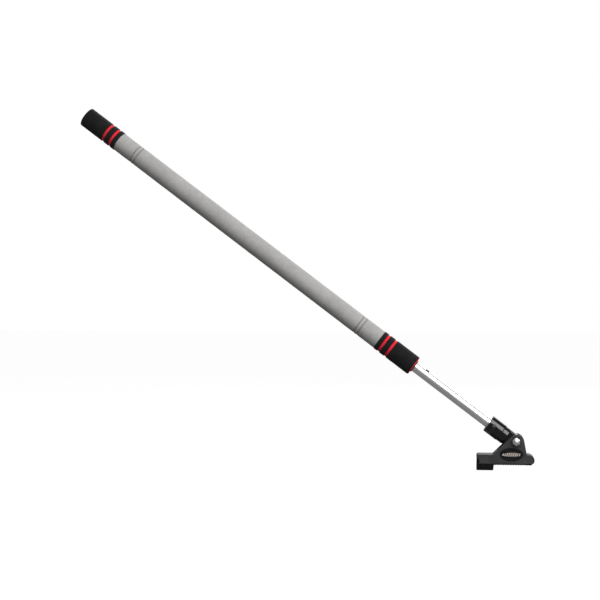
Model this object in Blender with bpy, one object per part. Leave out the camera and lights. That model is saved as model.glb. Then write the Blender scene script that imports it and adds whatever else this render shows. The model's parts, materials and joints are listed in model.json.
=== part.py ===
"""Telescoping bed cargo bar with a hinged foot, in metres, +Z up.

The origin is on the foot's sole plane, under the hinge pin. The foot's length runs along X and
the hinge pin along Y. The bar rises from the pin towards -X. Pieces of the bar are drawn about
their own +Z, which an empty lays along the bar, with 0 beside the hinge pin.
"""

import math

import bmesh
import bpy

# ---- driving dimensions ----
BAR_RISE = math.radians(37.2)  # slope of the bar above the sole plane
PIVOT_HEIGHT = 0.0575  # hinge pin above the sole plane
PIVOT_OFFSET = 0.006  # hinge pin above the tubes' axis
GAP = 0.0003  # between pieces that touch
RUNNING = 0.00025  # radial clearance between pieces that slide or turn

INNER_TUBE_R = 0.0127
INNER_TUBE_WALL = 0.0018
OUTER_TUBE_R = 0.015875
OUTER_TUBE_WALL = 0.00165

# places along the bar, from the hinge pin
TUBE_SEAT = 0.043  # floor of the socket's bore
SOCKET_SHOULDER = 0.0405
SOCKET_MOUTH = 0.0788
SOCKET_SCREW = 0.0640
CROSS_HOLE = 0.2745
GRIP_START = 0.3083
SLEEVE_START = 0.4153
SLEEVE_LENGTH = 0.8255
GRIP_LENGTH = SLEEVE_START - GRIP_START
BAR_END = SLEEVE_START + SLEEVE_LENGTH + GRIP_LENGTH
INNER_TUBE_END = 0.923

SOCKET_R = 0.0225
NECK_R = 0.0213
NECK_END = 0.0240  # the neck stays clear of the cheeks
TONGUE_HALF_THICK = 0.0134
TONGUE_TIP_R = 0.016

CORE_R = 0.0238
BAND_R = 0.0254
SLEEVE_R = 0.0243
CORE_LIP = 0.0022  # how far the red core stands out of the last black band
BAND_LENGTHS = (0.0660, 0.0138, 0.0110)  # from the grip's open end towards the sleeve
BAND_SPACE = 0.0070  # red left bare between two bands
GROOVES = (0.0533, 0.0635)  # from each end of the sleeve

FOOT_LEFT = -0.0961
FOOT_RIGHT = 0.0447
FOOT_TOP = 0.0256
FOOT_HALF_DEPTH = 0.0225
CHEEK_INNER = 0.0146
CHEEK_TOP_R = 0.0180
CHEEK_CROWN = (0.0015, PIVOT_HEIGHT - 0.001)  # middle of the cheeks' round top
CHEEK_LEFT_FOOT = -0.0560
CHEEK_RIGHT_FOOT = 0.0255
SLOT_FLOOR = 0.033
SOLE_THICK = 0.0022
LIP_DEPTH = 0.013
LIP_LENGTH = 0.0418
LIP_UPSTAND = 0.006
LIP_UPSTAND_TOP = 0.0135
BADGE_X, BADGE_Z = -0.0117, 0.0256  # middle of the oval badge
BADGE_A, BADGE_B = 0.028, 0.016  # its semi-axes

PIN_R = 0.005  # M10 hinge bolt
SCREW_R = 0.003  # M6 socket screw
STUD_R = 0.004  # M8 lock stud

ROUND = 32  # sides of the tubes and the foam
SMALL_ROUND = 20  # sides of the fasteners
WELL_CLEAR = 0.03  # how far a cutting tool runs past the piece that it cuts


# ---- helpers ----
def material(name, colour, roughness, metallic=0.0):
    made = bpy.data.materials.new(name)
    made.use_nodes = True
    made.diffuse_color = (*colour, 1.0)
    shader = made.node_tree.nodes["Principled BSDF"]
    shader.inputs["Base Color"].default_value = (*colour, 1.0)
    shader.inputs["Roughness"].default_value = roughness
    shader.inputs["Metallic"].default_value = metallic
    return made


def empty(name, location, rotation=(0.0, 0.0, 0.0), parent=None):
    made = bpy.data.objects.new(name, None)
    made.location = location
    made.rotation_euler = rotation
    made.parent = parent
    bpy.context.collection.objects.link(made)
    return made


def add_object(name, bm, finish, parent):
    """Turns a bmesh into a named object under its parent, with its faces pointing out."""
    bmesh.ops.recalc_face_normals(bm, faces=bm.faces)
    mesh = bpy.data.meshes.new(name)
    bm.to_mesh(mesh)
    bm.free()
    mesh.shade_smooth()
    mesh.set_sharp_from_angle(angle=math.radians(35))
    made = bpy.data.objects.new(name, mesh)
    made.parent = parent
    bpy.context.collection.objects.link(made)
    if finish is None:
        made.hide_render = True
        made.display_type = "WIRE"
    else:
        mesh.materials.append(finish)
    return made


def turned(name, profile, finish, parent, sides=ROUND):
    """Turns (radius, height) points about +Z. A profile that ends on the axis is left open there."""
    bm = bmesh.new()
    points = [bm.verts.new((radius, 0, height)) for radius, height in profile]
    edges = [bm.edges.new(pair) for pair in zip(points, points[1:])]
    if profile[0][0] > 0:
        edges.append(bm.edges.new((points[-1], points[0])))
    whole = points + edges
    bmesh.ops.spin(bm, geom=whole, axis=(0, 0, 1), angle=math.tau, steps=sides, use_merge=True)
    bmesh.ops.remove_doubles(bm, verts=bm.verts, dist=1e-6)
    return add_object(name, bm, finish, parent)


def ring(name, inner, outer, low, high, finish, parent, sides=ROUND):
    profile = [(inner, low), (outer, low), (outer, high), (inner, high)]
    return turned(name, profile, finish, parent, sides)


def rod(name, radius, low, high, finish, parent, sides=ROUND):
    return turned(name, [(0, low), (radius, low), (radius, high), (0, high)], finish, parent, sides)


def prism(name, outline, low, high, finish, parent, axis="Y"):
    """Extrudes an outline: (x, z) points along Y, or (x, y) points along Z."""
    bm = bmesh.new()
    if axis == "Y":
        corners = [bm.verts.new((x, low, z)) for x, z in outline]
        travel = (0, high - low, 0)
    else:
        corners = [bm.verts.new((x, y, low)) for x, y in outline]
        travel = (0, 0, high - low)
    face = bm.faces.new(corners)
    moved = bmesh.ops.extrude_face_region(bm, geom=[face])["geom"]
    bmesh.ops.translate(bm, verts=[v for v in moved if isinstance(v, bmesh.types.BMVert)], vec=travel)
    return add_object(name, bm, finish, parent)


def arc(centre, radius, start, end, steps):
    """Points from one angle to another, in degrees, both ends included."""
    angles = [math.radians(start + (end - start) * i / steps) for i in range(steps + 1)]
    return [(centre[0] + radius * math.cos(a), centre[1] + radius * math.sin(a)) for a in angles]


def rectangle(left, right, low, high):
    return [(left, low), (right, low), (right, high), (left, high)]


def tangent_angle(centre, radius, point, side):
    """The angle, in degrees, at which a line from the point touches the circle."""
    dx, dy = point[0] - centre[0], point[1] - centre[1]
    return math.degrees(math.atan2(dy, dx) + side * math.acos(radius / math.hypot(dx, dy)))


def boolean(target, tool, operation="DIFFERENCE"):
    modifier = target.modifiers.new(tool.name, "BOOLEAN")
    modifier.operation = operation
    modifier.object = tool


def bevel(target, width, segments=2):
    modifier = target.modifiers.new("edges", "BEVEL")
    modifier.width = width
    modifier.segments = segments
    modifier.limit_method = "ANGLE"
    modifier.angle_limit = math.radians(40)


for old in list(bpy.data.objects):
    bpy.data.objects.remove(old)

# ---- materials ----
moulding_black = material("moulding_black", (0.035, 0.035, 0.036), 0.55)
gloss_black = material("gloss_black", (0.012, 0.012, 0.013), 0.18)
rubber_black = material("rubber_black", (0.016, 0.016, 0.017), 0.8)
foam_black = material("foam_black", (0.022, 0.022, 0.023), 0.9)
foam_red = material("foam_red", (0.72, 0.03, 0.045), 0.8)
foam_grey = material("foam_grey", (0.36, 0.355, 0.345), 0.9)
aluminium = material("aluminium", (0.83, 0.83, 0.84), 0.3, 1.0)
zinc_steel = material("zinc_steel", (0.66, 0.66, 0.65), 0.28, 1.0)
black_steel = material("black_steel", (0.03, 0.03, 0.03), 0.4, 1.0)
nylon_natural = material("nylon_natural", (0.72, 0.7, 0.64), 0.5)
badge_plate = material("badge_plate", (0.02, 0.02, 0.021), 0.35)

# ---- axes that the pieces are drawn about ----
pivot = empty("foot_pivot_axis", (0, 0, PIVOT_HEIGHT))
pin_axis = empty("pin_axis", (0, 0, 0), (-math.pi / 2, 0, 0), pivot)  # its +Z points to +Y, the back
swing = empty("bar_swing", (0, 0, 0), (0, BAR_RISE - math.pi / 2, 0), pivot)
tongue_pin_axis = empty("tongue_pin_axis", (0, 0, 0), (-math.pi / 2, 0, 0), swing)
bar = empty("bar_axis", (-PIVOT_OFFSET, 0, 0), parent=swing)
screw_axis = empty("socket_screw_axis", (0, 0, SOCKET_SCREW), (math.pi / 2, 0, 0), bar)  # +Z to -Y

# ---- foot: moulded clevis ----
body_low = SOLE_THICK + GAP
nose_low_r, nose_top_r = 0.0072, 0.0155  # the nose is fuller below than above
nose_low = (FOOT_RIGHT - nose_low_r, body_low + nose_low_r)
nose_top = (FOOT_RIGHT - nose_top_r, FOOT_TOP - nose_top_r)
shoulder_r = 0.005
edge_bevel = 0.0014
left_foot, right_foot = (CHEEK_LEFT_FOOT, FOOT_TOP), (CHEEK_RIGHT_FOOT, FOOT_TOP)
right_touch = tangent_angle(CHEEK_CROWN, CHEEK_TOP_R, right_foot, 1)
left_touch = tangent_angle(CHEEK_CROWN, CHEEK_TOP_R, left_foot, -1) + 360
foot_outline = [
    (FOOT_LEFT, body_low),
    *arc(nose_low, nose_low_r, -90, 0, 4),
    *arc(nose_top, nose_top_r, 0, 90, 6),
    right_foot,
    *arc(CHEEK_CROWN, CHEEK_TOP_R, right_touch, left_touch, 8),
    left_foot,
    *arc((FOOT_LEFT + shoulder_r, FOOT_TOP - shoulder_r), shoulder_r, 90, 180, 3),
]
foot_body = prism("foot_body", foot_outline, -FOOT_HALF_DEPTH, FOOT_HALF_DEPTH, moulding_black, None)
bevel(foot_body, edge_bevel, 1)

nose_plan_r = 0.011
end_plan_r = 0.003
foot_plan = []
for corner_x, radius, first in (
    (FOOT_RIGHT, nose_plan_r, -90),
    (FOOT_RIGHT, nose_plan_r, 0),
    (FOOT_LEFT, end_plan_r, 90),
    (FOOT_LEFT, end_plan_r, 180),
):
    inward = -radius if corner_x == FOOT_RIGHT else radius
    side = -1 if first in (-90, 180) else 1
    centre = (corner_x + inward, side * (FOOT_HALF_DEPTH - radius))
    foot_plan += arc(centre, radius, first, first + 90, 4)
foot_limit = prism("foot_plan_limit", foot_plan, -WELL_CLEAR, 3 * WELL_CLEAR, None, None, axis="Z")
boolean(foot_body, foot_limit, "INTERSECT")

rebate = rectangle(FOOT_LEFT - WELL_CLEAR, FOOT_LEFT + LIP_UPSTAND + GAP, -WELL_CLEAR, LIP_UPSTAND_TOP + GAP)
boolean(foot_body, prism("cut_lip_rebate", rebate, -WELL_CLEAR, WELL_CLEAR, None, None))
clevis = rectangle(CHEEK_LEFT_FOOT - 0.01, CHEEK_RIGHT_FOOT + 0.01, SLOT_FLOOR, SLOT_FLOOR + 2 * WELL_CLEAR)
boolean(foot_body, prism("cut_clevis_slot", clevis, -CHEEK_INNER, CHEEK_INNER, None, None))
boolean(foot_body, rod("cut_pin_holes", PIN_R + GAP, -WELL_CLEAR, WELL_CLEAR, None, pin_axis, SMALL_ROUND))

# ---- foot: oval badge on each cheek, in a shallow recess ----
badge_depth = 0.0015
badge_proud = 0.0004
badge_gap = 0.0004
badge_sides = 36


def oval(margin):
    turns = [math.tau * i / badge_sides for i in range(badge_sides)]
    half_long, half_high = BADGE_A + margin, BADGE_B + margin
    return [(BADGE_X + half_long * math.cos(a), BADGE_Z + half_high * math.sin(a)) for a in turns]


for side, where in ((-1, "front"), (1, "back")):
    face = side * FOOT_HALF_DEPTH
    floor = side * (FOOT_HALF_DEPTH - badge_depth)
    ends = sorted((floor, face + side * 0.005))
    boolean(foot_body, prism("cut_badge_" + where, oval(badge_gap), *ends, None, None))
    ends = sorted((floor + side * GAP, face + side * badge_proud))
    prism("badge_" + where, oval(0), *ends, badge_plate, None)

# ---- foot: rubber sole and the hooked lip block with its screws ----
lip_right = FOOT_LEFT + LIP_LENGTH
sole_half = FOOT_HALF_DEPTH - 0.0005
sole_outline = [
    (lip_right + GAP, 0),
    (nose_low[0] - 0.0015, 0),
    (nose_low[0] + 0.001, SOLE_THICK),
    (lip_right + GAP, SOLE_THICK),
]
prism("sole_pad", sole_outline, -sole_half, sole_half, rubber_black, None)

lip_corner_r = 0.002
lip_draft = 0.0015
lip_face_top = -0.0006  # the sloped inner face ends here, so what it rests on stays clear of the sole pad
lip_outline = [
    *arc((FOOT_LEFT + lip_corner_r, lip_corner_r - LIP_DEPTH), lip_corner_r, 180, 270, 2),
    (lip_right - lip_draft, -LIP_DEPTH),
    (lip_right, lip_face_top),
    (lip_right, SOLE_THICK),
    (FOOT_LEFT + LIP_UPSTAND, SOLE_THICK),
    (FOOT_LEFT + LIP_UPSTAND, LIP_UPSTAND_TOP),
    (FOOT_LEFT + 0.0005, LIP_UPSTAND_TOP),
]
lip_half = FOOT_HALF_DEPTH - 0.0004
lip_block = prism("lip_block", lip_outline, -lip_half, lip_half, rubber_black, None)
lip_head_r, lip_head_high, lip_head_seat = 0.0045, 0.0028, -0.008
lip_shank_r, lip_tip = 0.002, 0.0125
drive_r, drive_deep = 0.0018, 0.0015  # hollow in the head
head_top = lip_head_seat - GAP
head_low = head_top - lip_head_high
lip_screw_profile = [
    (0, head_low + drive_deep),
    (drive_r, head_low + drive_deep),
    (drive_r, head_low),
    (lip_head_r - 0.0004, head_low),
    (lip_head_r, head_low + 0.0005),
    (lip_head_r, head_top),
    (lip_shank_r, head_top),
    (lip_shank_r, lip_tip - 0.0015),
    (0, lip_tip),
]
for number, lip_x in enumerate((FOOT_LEFT + 0.0125, FOOT_LEFT + 0.0285), 1):
    axis = empty(f"lip_screw_axis_{number}", (lip_x, 0, 0))
    for holed, name, radius, top in (
        (lip_block, "cut_lip_hole", lip_shank_r, 0.01),
        (lip_block, "cut_lip_seat", lip_head_r, lip_head_seat),
        (foot_body, "cut_foot_hole", lip_shank_r, lip_tip + 0.001),
    ):
        tool = rod(f"{name}_{number}", radius + GAP, -WELL_CLEAR, top, None, axis, SMALL_ROUND)
        boolean(holed, tool)
    turned(f"lip_screw_{number}", lip_screw_profile, black_steel, axis, SMALL_ROUND)

# ---- hinge pin: bolt from behind, dome nut in front, washers outside and inside the cheeks ----
washer_thick = 0.0016
washer_r = 0.011
friction_thick = 0.0008
friction_r = 0.0145
head_seat = FOOT_HALF_DEPTH + washer_thick + 2 * GAP
hex_r = 0.0085 / math.cos(math.pi / 6)  # 17 mm across flats
bolt_head = 0.0064
nut_height = 0.008
dome_height, dome_r = 0.0052, 0.0074
nut_face = -head_seat - nut_height

hexagon_axis = empty("hexagon_axis", (0, 0, 0), (0, 0, math.pi / 6), pin_axis)  # a corner points down

hinge_bolt = rod("hinge_bolt", PIN_R, nut_face, head_seat + bolt_head / 2, zinc_steel, pin_axis, SMALL_ROUND)
bolt_hexagon = rod("bolt_hexagon", hex_r, head_seat, head_seat + bolt_head, None, hexagon_axis, 6)
boolean(hinge_bolt, bolt_hexagon, "UNION")

dome = [(0, nut_face + 0.002), (dome_r, nut_face + 0.002)]
for step in range(6):
    climb = math.radians(15 * step)
    dome.append((dome_r * math.cos(climb), nut_face - dome_height * math.sin(climb)))
dome.append((0, nut_face - dome_height))
dome_nut = turned("dome_nut", dome, zinc_steel, pin_axis, SMALL_ROUND)
nut_hexagon = rod("nut_hexagon", hex_r, nut_face, -head_seat, None, hexagon_axis, 6)
boolean(dome_nut, nut_hexagon, "UNION")
nut_thread = rod("cut_nut_thread", PIN_R + GAP, nut_face - 0.001, 0, None, pin_axis, SMALL_ROUND)
boolean(dome_nut, nut_thread)

for side, where in ((-1, "front"), (1, "back")):
    ends = sorted((side * (FOOT_HALF_DEPTH + GAP), side * (FOOT_HALF_DEPTH + GAP + washer_thick)))
    ring("washer_" + where, PIN_R + GAP, washer_r, *ends, black_steel, pin_axis, 24)
    inner_face = TONGUE_HALF_THICK + 0.0002
    ends = sorted((side * inner_face, side * (inner_face + friction_thick)))
    ring("friction_washer_" + where, PIN_R + GAP, friction_r, *ends, nylon_natural, pin_axis, 24)

# ---- inner half of the bar: socket with its tongue ----
# The tongue's outline is in the bar's own X and Z, with the hinge pin at (PIVOT_OFFSET, 0).
tongue_edge = PIVOT_OFFSET + TONGUE_TIP_R
tongue_root = NECK_END + 0.006
tongue_bevel = 0.006
heel = (0.0004 - NECK_R, 0.0275)
heel_touch = tangent_angle((PIVOT_OFFSET, 0), TONGUE_TIP_R, heel, 1) - 360
tongue_outline = [
    (NECK_R - 0.0004, tongue_root),
    (NECK_R - 0.0004, NECK_END),
    *arc((PIVOT_OFFSET, 0), TONGUE_TIP_R, 0, heel_touch, 10),
    heel,
    (0.0004 - NECK_R, tongue_root),
]
tongue = prism("tongue_stock", tongue_outline, -TONGUE_HALF_THICK, TONGUE_HALF_THICK, None, bar)
bevel(tongue, tongue_bevel)
sleeve_profile = [
    (0, NECK_END),
    (NECK_R - 0.002, NECK_END),
    (NECK_R, NECK_END + 0.002),
    (NECK_R, SOCKET_SHOULDER),
    (SOCKET_R, SOCKET_SHOULDER + 0.001),
    (SOCKET_R, SOCKET_MOUTH - 0.001),
    (SOCKET_R - 0.001, SOCKET_MOUTH),
    (0, SOCKET_MOUTH),
]
tube_socket = turned("tube_socket", sleeve_profile, gloss_black, bar)
boolean(tube_socket, tongue, "UNION")
boolean(tube_socket, rod("cut_socket_bore", INNER_TUBE_R + GAP, TUBE_SEAT, SOCKET_MOUTH + 0.01, None, bar))
sleeve_r = 0.007
pin_bore = rod("cut_tongue_bore", sleeve_r + GAP, -WELL_CLEAR, WELL_CLEAR, None, tongue_pin_axis, SMALL_ROUND)
boolean(tube_socket, pin_bore)
sleeve_ends = (-TONGUE_HALF_THICK, TONGUE_HALF_THICK)
ring("pivot_sleeve", PIN_R + RUNNING, sleeve_r, *sleeve_ends, zinc_steel, tongue_pin_axis, SMALL_ROUND)

# ---- screw and nut that hold the tube in the socket ----
screw_head_r, screw_head_high = 0.0066, 0.0033
front_seat, back_seat, seat_r = 0.0188, 0.0163, 0.0072
m6_nut_r = 0.005 / math.cos(math.pi / 6)  # 10 mm across flats
m6_nut_high = 0.005
clearance = rod("cut_screw_hole", SCREW_R + GAP, -WELL_CLEAR, WELL_CLEAR, None, screw_axis, SMALL_ROUND)
boolean(tube_socket, clearance)
boolean(tube_socket, rod("cut_screw_seat", seat_r, front_seat, WELL_CLEAR, None, screw_axis, 24))
boolean(tube_socket, rod("cut_nut_seat", seat_r, -WELL_CLEAR, -back_seat, None, screw_axis, 24))
head_base = front_seat + GAP
drive_r, drive_floor = 0.0021, head_base + 0.0012
screw_tip = -back_seat - m6_nut_high - 0.001
socket_screw = [
    (0, screw_tip),
    (SCREW_R, screw_tip),
    (SCREW_R, head_base),
    (screw_head_r, head_base),
    (screw_head_r, head_base + 0.0008),
    (0.0052, head_base + 0.0026),
    (0.0035, head_base + screw_head_high),
    (drive_r, head_base + screw_head_high),
    (drive_r, drive_floor),
    (0, drive_floor),
]
turned("socket_screw", socket_screw, black_steel, screw_axis, SMALL_ROUND)
nut_ends = (-back_seat - GAP - m6_nut_high, -back_seat - GAP)
socket_nut = rod("socket_nut", m6_nut_r, *nut_ends, zinc_steel, screw_axis, 6)
boolean(socket_nut, rod("cut_m6_thread", SCREW_R + GAP, -WELL_CLEAR, 0, None, screw_axis, SMALL_ROUND))

# ---- inner tube, with the screw's hole, the pin's hole and the drilled hole in its upper front ----
tube_bore_r = INNER_TUBE_R - INNER_TUBE_WALL
inner_tube = ring("inner_tube", tube_bore_r, INNER_TUBE_R, TUBE_SEAT + GAP, INNER_TUBE_END, aluminium, bar)
boolean(inner_tube, clearance)
cross_hole_r = 0.00525
hole_turn = math.radians(70)  # from the front towards the bar's upper side
hole_axis = empty("cross_hole_axis", (0, 0, CROSS_HOLE), (math.pi / 2, 0, hole_turn), bar)
boolean(inner_tube, rod("cut_cross_hole", cross_hole_r, 0.002, WELL_CLEAR, None, hole_axis, SMALL_ROUND))

# ---- twist lock at the inner tube's upper end: plug, pin, stud and stop nut ----
plug_low = INNER_TUBE_END - 0.028
plug_top = INNER_TUBE_END + GAP + 0.004
plug_r = tube_bore_r - GAP
stud_head_r, stud_head_low, stud_head_high = 0.0066, plug_low + 0.010, 0.0055
stud_bore_r = STUD_R + GAP
plug_profile = [
    (stud_head_r + GAP, plug_low),
    (plug_r, plug_low),
    (plug_r, INNER_TUBE_END + GAP),
    (INNER_TUBE_R - 0.0002, INNER_TUBE_END + GAP),
    (INNER_TUBE_R - 0.0002, plug_top),
    (stud_bore_r, plug_top),
    (stud_bore_r, stud_head_low + stud_head_high + GAP),
    (stud_head_r + GAP, stud_head_low + stud_head_high + GAP),
]
lock_plug = turned("lock_plug", plug_profile, nylon_natural, bar)
pin_r = 0.0015
plug_pin_axis = empty("plug_pin_axis", (0, 0, plug_low + 0.004), (0, math.pi / 2, 0), bar)
for holed in (lock_plug, inner_tube):
    boolean(holed, rod("cut_pin_" + holed.name, pin_r + GAP, -0.02, 0.02, None, plug_pin_axis, 12))
rod("plug_pin", pin_r, GAP - INNER_TUBE_R, INNER_TUBE_R - GAP, zinc_steel, plug_pin_axis, 12)

stud_end = plug_top + 0.062
lock_stud = [
    (0, stud_head_low),
    (stud_head_r, stud_head_low),
    (stud_head_r, stud_head_low + stud_head_high),
    (STUD_R, stud_head_low + stud_head_high),
    (STUD_R, stud_end - 0.001),
    (STUD_R - 0.001, stud_end),
    (0, stud_end),
]
turned("lock_stud", lock_stud, zinc_steel, bar, SMALL_ROUND)
stop_nut_r = 0.0075
stop_nut = rod("stop_nut", stop_nut_r, stud_end - 0.006, stud_end - 0.002, zinc_steel, bar, 6)
boolean(stop_nut, rod("cut_stop_thread", STUD_R + GAP, plug_top, stud_end + 0.01, None, bar, SMALL_ROUND))

# ---- twist lock: slotted expander that turns with the outer tube, and the cone nut inside it ----
outer_bore_r = OUTER_TUBE_R - OUTER_TUBE_WALL
expander_r = outer_bore_r - GAP
expander_low = plug_top + 0.003
expander_top = expander_low + 0.048
cone_low, cone_length = expander_low + 0.025, 0.020
cone_small_r, cone_large_r = 0.0080, 0.0106
cone_slope = (cone_large_r - cone_small_r) / cone_length
cone_gap = 0.00015  # the lock is shut at rest
cavity_low = cone_low - 0.004
cavity_low_r = cone_small_r + cone_gap + cone_slope * (cavity_low - cone_low)
cavity_top_r = cone_small_r + cone_gap + cone_slope * (expander_top - cone_low)
expander_profile = [
    (STUD_R + RUNNING, expander_low),
    (expander_r, expander_low),
    (expander_r, expander_top),
    (cavity_top_r, expander_top),
    (cavity_low_r, cavity_low),
    (STUD_R + RUNNING, cavity_low),
]
expander = turned("expander", expander_profile, nylon_natural, bar)
split_half, split_low = 0.001, expander_low + 0.010
for number, turn in enumerate((0, math.pi / 2), 1):
    split_axis = empty(f"expander_split_axis_{number}", (0, 0, 0), (0, 0, turn), bar)
    split = [(-0.02, split_low), (0.02, split_low), (0.02, expander_top + 0.01), (-0.02, expander_top + 0.01)]
    boolean(expander, prism(f"cut_split_{number}", split, -split_half, split_half, None, split_axis))
cone_profile = [
    (STUD_R + RUNNING, cone_low),
    (cone_small_r, cone_low),
    (cone_large_r, cone_low + cone_length),
    (STUD_R + RUNNING, cone_low + cone_length),
]
turned("cone_nut", cone_profile, zinc_steel, bar)

# ---- outer half of the bar: tube, guide bush and end plug ----
outer_low, outer_high = GRIP_START + GAP, BAR_END - 0.0075
ring("outer_tube", outer_bore_r, OUTER_TUBE_R, outer_low, outer_high, aluminium, bar)
bush_bore_r = INNER_TUBE_R + RUNNING
flange_r, flange_low, flange_edge = 0.0158, GRIP_START - 0.0027, 0.0005
bush_top = GRIP_START + 0.030
bush_profile = [
    (bush_bore_r, flange_low),
    (flange_r - flange_edge, flange_low),
    (flange_r, flange_low + flange_edge),
    (flange_r, GRIP_START),
    (outer_bore_r - GAP, GRIP_START),
    (outer_bore_r - GAP, bush_top),
    (bush_bore_r, bush_top),
]
turned("guide_bush", bush_profile, moulding_black, bar)
plug_face = BAR_END - 0.0006
plug_inner_end = outer_high - 0.025
end_plug = [
    (0, plug_inner_end),
    (outer_bore_r - GAP, plug_inner_end),
    (outer_bore_r - GAP, outer_high + GAP),
    (OUTER_TUBE_R, outer_high + GAP),
    (OUTER_TUBE_R, plug_face - 0.001),
    (OUTER_TUBE_R - 0.001, plug_face),
    (0, plug_face),
]
turned("end_plug", end_plug, rubber_black, bar)

# ---- foam: grey sleeve, then a red core with three black bands at each end ----
foam_bore_r = OUTER_TUBE_R + GAP
sleeve_end = SLEEVE_START + SLEEVE_LENGTH
groove_half, groove_deep, edge_round = 0.0022, 0.0009, 0.0008
sleeve_profile = [
    (foam_bore_r, SLEEVE_START),
    (SLEEVE_R - edge_round, SLEEVE_START),
    (SLEEVE_R, SLEEVE_START + edge_round),
]
for place in (
    *(SLEEVE_START + groove for groove in GROOVES),
    *(sleeve_end - groove for groove in reversed(GROOVES)),
):
    sleeve_profile += [
        (SLEEVE_R, place - groove_half),
        (SLEEVE_R - groove_deep, place),
        (SLEEVE_R, place + groove_half),
    ]
sleeve_profile += [
    (SLEEVE_R, sleeve_end - edge_round),
    (SLEEVE_R - edge_round, sleeve_end),
    (foam_bore_r, sleeve_end),
]
turned("foam_sleeve", sleeve_profile, foam_grey, bar)

band_bore_r = CORE_R + GAP
band_edge = 0.0007
end_edge = 0.0040  # the bar's far end is rounder than the end beside the inner tube
for where, sign, open_end, sleeve_face in (
    ("lower", 1, GRIP_START, SLEEVE_START),
    ("upper", -1, BAR_END, sleeve_end),
):
    core_edge = 0.0006
    core_profile = [
        (foam_bore_r, open_end),
        (CORE_R - core_edge, open_end),
        (CORE_R, open_end + sign * core_edge),
        (CORE_R, sleeve_face - sign * GAP),
        (foam_bore_r, sleeve_face - sign * GAP),
    ]
    turned("grip_core_" + where, core_profile, foam_red, bar)
    start = open_end + sign * CORE_LIP
    for number, length in enumerate(BAND_LENGTHS, 1):
        stop = start + sign * length
        last = number == len(BAND_LENGTHS)
        if last:
            stop = sleeve_face - sign * GAP
        first_edge = end_edge if where == "upper" and number == 1 else band_edge
        last_edge = 0.0004 if last else band_edge
        slope_in = min(first_edge, BAND_R - band_bore_r - 0.0004)
        band_profile = [
            (band_bore_r, start),
            (BAND_R - slope_in, start),
            (BAND_R - slope_in * 0.3, start + sign * first_edge * 0.3),
            (BAND_R, start + sign * first_edge),
            (BAND_R, stop - sign * last_edge),
            (BAND_R - last_edge, stop),
            (band_bore_r, stop),
        ]
        turned(f"grip_band_{where}_{number}", band_profile, foam_black, bar)
        start = stop + sign * BAND_SPACE
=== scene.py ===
import json
import math

import bmesh
import bpy
from mathutils import Matrix, Vector


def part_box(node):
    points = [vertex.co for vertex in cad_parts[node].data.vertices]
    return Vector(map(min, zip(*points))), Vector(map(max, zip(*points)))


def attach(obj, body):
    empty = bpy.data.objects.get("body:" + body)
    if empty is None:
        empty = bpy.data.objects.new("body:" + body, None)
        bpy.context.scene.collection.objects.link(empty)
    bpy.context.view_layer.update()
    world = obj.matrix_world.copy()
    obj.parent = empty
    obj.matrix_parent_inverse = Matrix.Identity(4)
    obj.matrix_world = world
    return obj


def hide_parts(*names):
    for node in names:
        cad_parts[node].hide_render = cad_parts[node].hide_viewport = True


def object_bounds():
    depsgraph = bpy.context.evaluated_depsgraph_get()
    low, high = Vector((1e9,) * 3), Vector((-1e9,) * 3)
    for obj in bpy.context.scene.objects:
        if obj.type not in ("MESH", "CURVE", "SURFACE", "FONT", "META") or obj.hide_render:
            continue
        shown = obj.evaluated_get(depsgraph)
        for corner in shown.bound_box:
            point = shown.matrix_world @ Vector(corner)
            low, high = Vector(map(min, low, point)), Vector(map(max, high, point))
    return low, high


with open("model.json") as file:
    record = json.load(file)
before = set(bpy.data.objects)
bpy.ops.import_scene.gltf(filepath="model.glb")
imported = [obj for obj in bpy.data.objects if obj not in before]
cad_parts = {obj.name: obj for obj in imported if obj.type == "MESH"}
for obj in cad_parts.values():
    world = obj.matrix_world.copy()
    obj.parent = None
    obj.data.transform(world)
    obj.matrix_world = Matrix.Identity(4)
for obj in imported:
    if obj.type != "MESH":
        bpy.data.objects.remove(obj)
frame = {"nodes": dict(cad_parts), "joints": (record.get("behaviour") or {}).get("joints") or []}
cad_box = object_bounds()


# ---- studio ----
# The bar stands in front of a white wall, on a white floor that lights nothing. A long softbox hangs
# above and in front of it, in line with the bar, and a panel behind it lights its upper side.
joints = {joint["name"]: joint for joint in frame["joints"]}
bar_way = Vector(joints["bar_twist"]["axis"])  # up the bar, from the foot to the far end
bar_middle = Vector((-0.53, 0.0, 0.45))
camera_turn = math.radians(6.5)
camera_away = 3.49
camera_aim = Vector((-0.5324, 0.0, 0.4024))
camera_place = camera_aim + camera_away * Vector((math.sin(camera_turn), -math.cos(camera_turn), 0.0))
bpy.ops.object.camera_add(location=camera_place, rotation=(math.pi / 2, 0.0, camera_turn))
camera = bpy.context.object
camera.data.sensor_width = 36.0
camera.data.lens = 84.0
bpy.context.scene.camera = camera
bpy.context.scene.view_settings.view_transform = "Standard"


def softbox(name, place, length, width, radiance):
    """A soft light that faces the bar's middle, with its length along the bar."""
    bpy.ops.object.light_add(type="AREA")
    light = bpy.context.object
    light.name = name
    light.data.shape = "RECTANGLE"
    light.data.size, light.data.size_y = length, width
    light.data.energy = radiance * length * width * math.pi
    back = (Vector(place) - bar_middle).normalized()
    side = (bar_way - bar_way.dot(back) * back).normalized()
    turn = Matrix((side, back.cross(side), back)).transposed().to_4x4()
    light.matrix_world = Matrix.Translation(place) @ turn
    light.visible_camera = False


softbox("key_softbox", (0.449, -1.5, 1.73), 3.0, 1.8, 5.2)
softbox("back_panel", (0.3, 2.2, 1.9), 3.0, 2.0, 3.1)

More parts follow.
